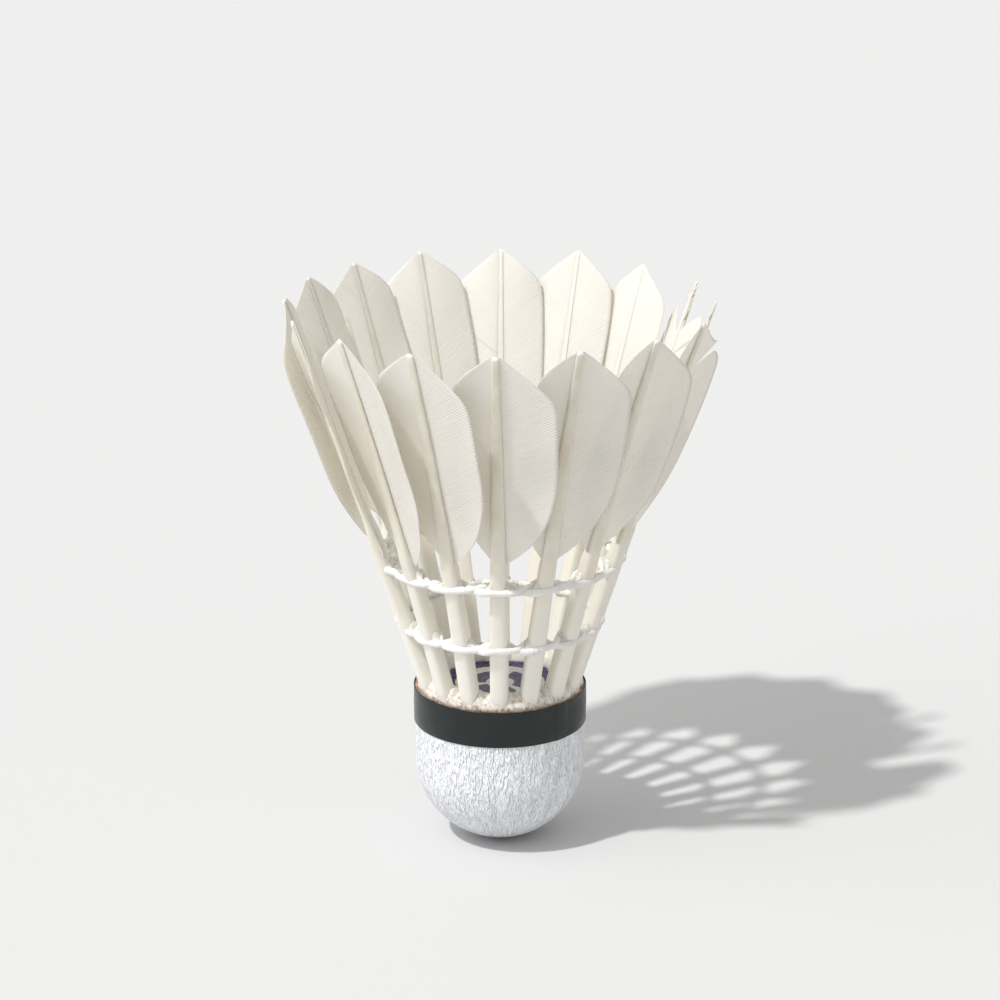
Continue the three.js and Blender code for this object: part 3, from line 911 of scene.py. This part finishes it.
def glue_mound(finish):
    """The glue round the shafts' feet: a bank turned about the axis, that rises as a power of a
    sine from the label and falls steeply at the rim. It climbs each shaft by a bell curve of the
    distance from it, and has a lumpy skin."""
    around, steps = 640, 26
    a = np.linspace(0, 2 * np.pi, around, endpoint=False)[:, None]
    t = np.linspace(0, 1, steps)[None, :]
    from_shaft = np.abs(ring_offset(a)) * BASE_RADIUS
    climb = np.exp(-((np.maximum(from_shaft - BASE_WIDTH / 2, 0) / CLIMB_REACH) ** 2))
    inner = LABEL_RADIUS - 0.35 + 0.2 * ripple(41, (a, 2.4))
    outer = COLLAR_RADIUS + 0.05 + 0.08 * ripple(42, (a, 3.0))
    peak = GLUE_BANK + GLUE_CLIMB * climb
    peak = peak + 0.2 * ripple(43, (a, 2.0)) + 0.1 * ripple(44, (a, 7.0))
    arch = np.sin(np.pi / 2 * np.clip(t / 0.5, 0, 1)) ** 0.8 * (1 - t**7) ** 0.75
    r = inner + (outer - inner) * t
    z = HEAD_TOP + 0.02 + peak * arch
    lumps = ripple(45, (r * np.cos(a), 0.5), (r * np.sin(a), 0.5), (z, 0.5))
    beads = ripple(46, (r * np.cos(a), 1.4), (r * np.sin(a), 1.4), (z, 1.4))
    skin = (lumps * 0.03 + beads * 0.022) * np.sin(np.pi * t)
    z = z + skin
    r = r + skin * 0.8
    points = np.stack([r * np.cos(a), r * np.sin(a), z], -1)
    faces = grid_faces(around, steps, wrap_rows=True, wrap_columns=True)
    return make("glue_mound", points, faces[:, ::-1], [finish], ["shaft_glue_collar"])


# ------------------------------------------------------------------ the thread rows

PLY_LOBE = 0.12  # how far the plies bulge out of a strand's section
CROSSING = 0.13  # how far up or down a strand passes its partner
DUCK = 2.4  # above 1, a strand stays outside for longer and ducks in only behind a shaft
ROW_TALL, ROW_DEEP = 0.42, 0.4  # half the height and depth of a row's glue between shafts
FIBRE_RADIUS = 0.035


def sweep(centre, radius_out, radius_up, sides, twist):
    """Rings of an oval section carried round a closed path. centre is an array of points. The
    section's first axis points away from the object's axis, and its second up the shafts. It has
    two lobes, a cosine of twice the angle, that are turned by twist."""
    along = np.roll(centre, -1, 0) - np.roll(centre, 1, 0)
    along /= np.linalg.norm(along, axis=1, keepdims=True)
    up = np.cross(np.stack([centre[:, 0], centre[:, 1], 0 * centre[:, 0]], -1), along)
    up /= np.linalg.norm(up, axis=1, keepdims=True)
    side = np.cross(along, up)
    k = np.arange(sides) / sides * 2 * np.pi
    lobe = 1 + PLY_LOBE * np.cos(2 * (k[None, :] - twist[:, None]))[:, :, None]
    c, s = np.cos(k)[None, :, None] * lobe, np.sin(k)[None, :, None] * lobe
    return centre[:, None] + side[:, None] * c * radius_out + up[:, None] * s * radius_up


def row_place(a, height, out, up):
    """A place by a thread row: out from the shafts' centreline and up along it."""
    tilt = np.arctan(shaft_slope(np.full_like(a, height)))
    r = shaft_radius(np.full_like(a, height)) + out * np.cos(tilt) + up * np.sin(tilt)
    z = HEAD_TOP + height - out * np.sin(tilt) + up * np.cos(tilt)
    return np.stack([r * np.cos(a), r * np.sin(a), z], -1)


def strand(name, node, height, start, finish, seed):
    """One twisted strand: outside one shaft, inside the next, and crossing its partner between
    them, where the two lie one over the other. It ducks in only behind a shaft: its way out is one
    minus twice a power of how far it is behind. Its own two plies turn about each other."""
    steps, sides = FEATHERS * 26, 14
    a = np.linspace(0, 2 * np.pi, steps, endpoint=False)
    weave = a * FEATHERS / 2 + start
    thick = shaft_thickness(np.array([height]))[0]
    reach = thick / 2 + STRAND_RADIUS * 0.3
    behind = (1 - np.cos(weave)) / 2
    out = reach * (1 - 2 * behind**DUCK) + 0.05 * ripple(seed, (a, 3.0))
    up = CROSSING * np.sin(weave) + 0.1 * ripple(seed + 1, (a, 1.7))
    centre = row_place(a, height, out, up)
    size = STRAND_RADIUS * (1 + 0.12 * ripple(seed + 3, (a, 4.0)))[:, None, None]
    points = sweep(centre, size, size * STRAND_FLAT, sides, a * PLY_TURNS)
    points = points + 0.025 * ripple(seed + 2, (points, 1.4))
    faces = grid_faces(steps, sides, wrap_rows=True, wrap_columns=True)
    along = np.repeat((a * shaft_radius(np.array([height]))[0])[:, None], sides, 1)
    around = np.repeat(np.arange(sides)[None, :] / sides, steps, 0)
    surface = np.stack([along, around], -1)
    return make(name, points, faces[:, ::-1], [finish], [node], uv=surface)


def row_glue(name, height, finish, seed):
    """The glue that stiffens a thread row: an oval section carried round the ring. It is low
    between the shafts, and runs up and down each one's side in a round fillet: the fillet's radius
    less the height of a circle of that radius."""
    steps, sides = FEATHERS * 40, 14
    a = np.linspace(0, 2 * np.pi, steps, endpoint=False)
    h = np.array([height])
    radius, width, thick = shaft_radius(h)[0], shaft_width(h)[0], shaft_thickness(h)[0]
    beside = np.abs(ring_offset(a)) * radius - width / 2
    near = 1 - np.clip(beside / FILLET, 0, 1)
    fillet = FILLET * (1 - np.sqrt(1 - near**2))
    tall = ROW_TALL + fillet + 0.05 * ripple(seed, (a, 3.1)) + 0.04 * ripple(seed + 1, (a, 8.0))
    deep = ROW_DEEP + (thick / 2 - 0.55) * near**2 + 0.03 * ripple(seed + 2, (a, 5.0))
    sway = 0.1 * ripple(seed + 3, (a, 1.3))
    k = np.arange(sides) / sides * 2 * np.pi
    out = (0.62 * (1 - near**2) + 0.1)[:, None] + deep[:, None] * np.cos(k)
    up = sway[:, None] + tall[:, None] * np.sin(k)
    angle = np.repeat(a[:, None], sides, 1)
    points = row_place(angle, height, out, up)
    points = points + 0.035 * ripple(seed + 4, (points, 0.9))
    faces = grid_faces(steps, sides, wrap_rows=True, wrap_columns=True)
    return make(name, points, faces[:, ::-1], [finish], [])


def fuzz(name, height, finish, seed, hairs=70):
    """Loose fibres that stand off a thread row: each is a thin tapering tube of four sides on a
    bent path, a straight line plus a sideways parabola."""
    rng = np.random.default_rng(seed)
    rings, sides = 7, 4
    a = rng.uniform(0, 2 * np.pi, hairs)
    t = np.linspace(0, 1, rings)
    length = rng.uniform(0.6, 2.2, hairs)
    lean, bend = rng.uniform(-1, 1, (2, hairs))
    rise = rng.choice([-1, 1], hairs) * rng.uniform(0.3, 1, hairs)
    out = 0.9 + (length * 0.45)[:, None] * t
    up = (rise * length)[:, None] * t
    along = (lean * length)[:, None] * t + (bend * length * 0.8)[:, None] * t**2
    radius = shaft_radius(np.array([height]))[0]
    centre = row_place(a[:, None] + along / radius, height, out, up)
    thick = FIBRE_RADIUS * (1 - 0.8 * t)[None, :, None]
    k = np.arange(sides) / sides * 2 * np.pi
    outward = np.stack([np.cos(a), np.sin(a), 0 * a], -1)[:, None, None, :]
    sideways = np.stack([-np.sin(a), np.cos(a), 0 * a], -1)[:, None, None, :]
    ring = outward * np.cos(k)[:, None] + sideways * np.sin(k)[:, None]
    points = centre[:, :, None, :] + ring * thick[..., None]
    foot = np.arange(sides)
    ends = np.array([foot[::-1], foot + (rings - 1) * sides])
    one = np.concatenate([grid_faces(rings, sides, wrap_columns=True)[:, ::-1], ends])
    faces = (one[None] + (np.arange(hairs) * rings * sides)[:, None, None]).reshape(-1, 4)
    return make(name, points, faces, [finish], [], uv=np.zeros(points.shape[:3] + (2,)))


# ------------------------------------------------------------------ putting it together

set_camera()
set_light()

floor_mesh = bpy.data.meshes.new("floor")
corners = [(-1, -1), (1, -1), (1, 1), (-1, 1)]
corners = [(x * FLOOR_REACH, y * FLOOR_REACH, 0) for x, y in corners]
floor_mesh.from_pydata(corners, [], [(0, 1, 2, 3)])
floor_mesh.materials.append(floor_finish())
floor = bpy.data.objects.new("floor", floor_mesh)
bpy.context.scene.collection.objects.link(floor)

cork = cork_finish()
for name in ("cork_nose", "cork_upper_block"):
    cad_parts[name].data.materials.clear()
    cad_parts[name].data.materials.append(cork)

feather_finishes = [shaft_finish(), web_finish()]
for index in range(FEATHERS):
    feather(index, feather_finishes)

leather_cup([leather_finish(), cut_edge_finish()])
tape_band(tape_finish())
label_sheet(label_finish())
glue_mound(glue_finish("collar_glue", True))

thread = thread_finish()
row_glue_finish = glue_finish("row_glue", False)
for row, height, seed in (("lower", LOWER_ROW, 50), ("upper", UPPER_ROW, 60)):
    for letter, start in (("a", 0.0), ("b", math.pi)):
        node = f"{row}_thread_strand_{letter}"
        strand(node + "_yarn", node, height, start, thread, seed + ord(letter))
    row_glue(f"{row}_row_glue", height, row_glue_finish, seed * 10)
    fuzz(f"{row}_row_fuzz", height, thread, seed * 20)
